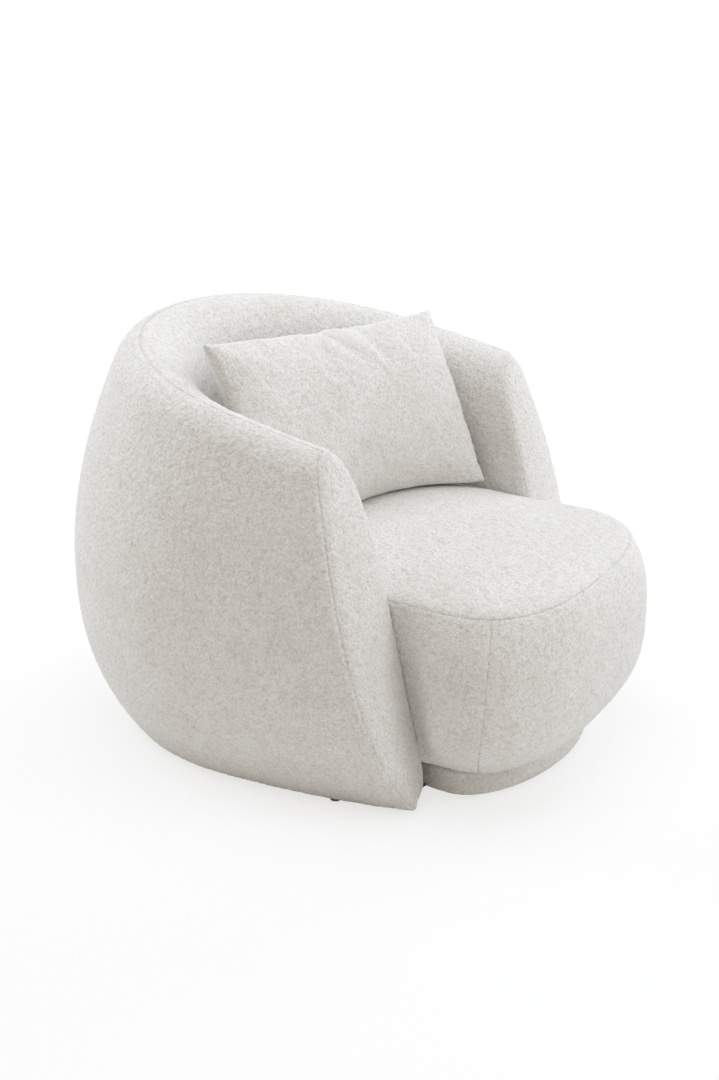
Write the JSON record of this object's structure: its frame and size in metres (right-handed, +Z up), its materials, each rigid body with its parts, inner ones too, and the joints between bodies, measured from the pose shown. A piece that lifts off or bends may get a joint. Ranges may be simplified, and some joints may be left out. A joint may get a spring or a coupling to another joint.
{
  "type": "tub chair",
  "caption": "Low upholstered tub chair with a barrel-shaped wrap-around shell, a deep rounded seat on a recessed plinth and a loose back cushion.",
  "frame": {"origin": "on the floor, under the centre of the chair's outline in plan", "axes": "+Z up, the front of the seat looks towards -Y, +X towards the arm that is on the sitter's left side"},
  "size_m": [0.9146, 1.0417, 0.7362],
  "materials": {
    "looped_cloth": "matte, curly looped pile",
    "foam": "matte, open-cell",
    "plywood": "sanded, unfinished",
    "bent_board": "smooth fibreboard",
    "webbing": "woven elastic strap",
    "dust_cloth": "thin non-woven cloth",
    "backing_cloth": "coarse plain weave",
    "steel": "zinc plated",
    "plastic": "moulded",
    "filling": "fibre in a light cloth case"
  },
  "bodies": {
    "chair": {"shell_cover_outside": "looped_cloth", "shell_cover_inside": "looped_cloth", "arm_band_left": "looped_cloth", "arm_band_right": "looped_cloth", "outer_pad": "foam", "inner_pad": "foam", "crest_roll": "foam", "arm_pad_left": "foam", "arm_pad_right": "foam", "backing_cloth": "backing_cloth", "inner_lining": "bent_board", "top_rail": "plywood", "bottom_rail": "plywood", "arm_board_left": "plywood", "arm_board_right": "plywood", "upright_back": "plywood", "upright_back_left": "plywood", "upright_back_right": "plywood", "upright_corner_left": "plywood", "upright_corner_right": "plywood", "upright_side_left": "plywood", "upright_side_right": "plywood", "seat_cover_top": "looped_cloth", "seat_band_left": "looped_cloth", "seat_band_front": "looped_cloth", "seat_band_right": "looped_cloth", "seat_topper": "foam", "seat_core": "foam", "seat_side_pad": "foam", "seat_frame_ring": "plywood", "webbing_lengthways": "webbing", "webbing_crossways": "webbing", "seat_base_board": "plywood", "seat_bearers": "plywood", "plinth_base_ring": "plywood", "plinth_wall": "plywood", "plinth_cover": "looped_cloth", "dust_cloth": "dust_cloth", "glides": "plastic", "frame_bolts": "steel"},
    "cushion": {"cushion_cover": "looped_cloth", "cushion_filling": "filling", "zip_tape": "plastic"},
    "slider": {"zip_slider": "steel"}
  },
  "joints": [
    {"name": "cushion_lift", "type": "slide", "parent": "chair", "child": "cushion", "axis": [0, 0, 1], "range_m": [0, 0.4]},
    {"name": "slider_run", "type": "slide", "parent": "cushion", "child": "slider", "axis": [0.0273, 0.3846, 0.9227], "range_m": [0, 0.135]}
  ]
}
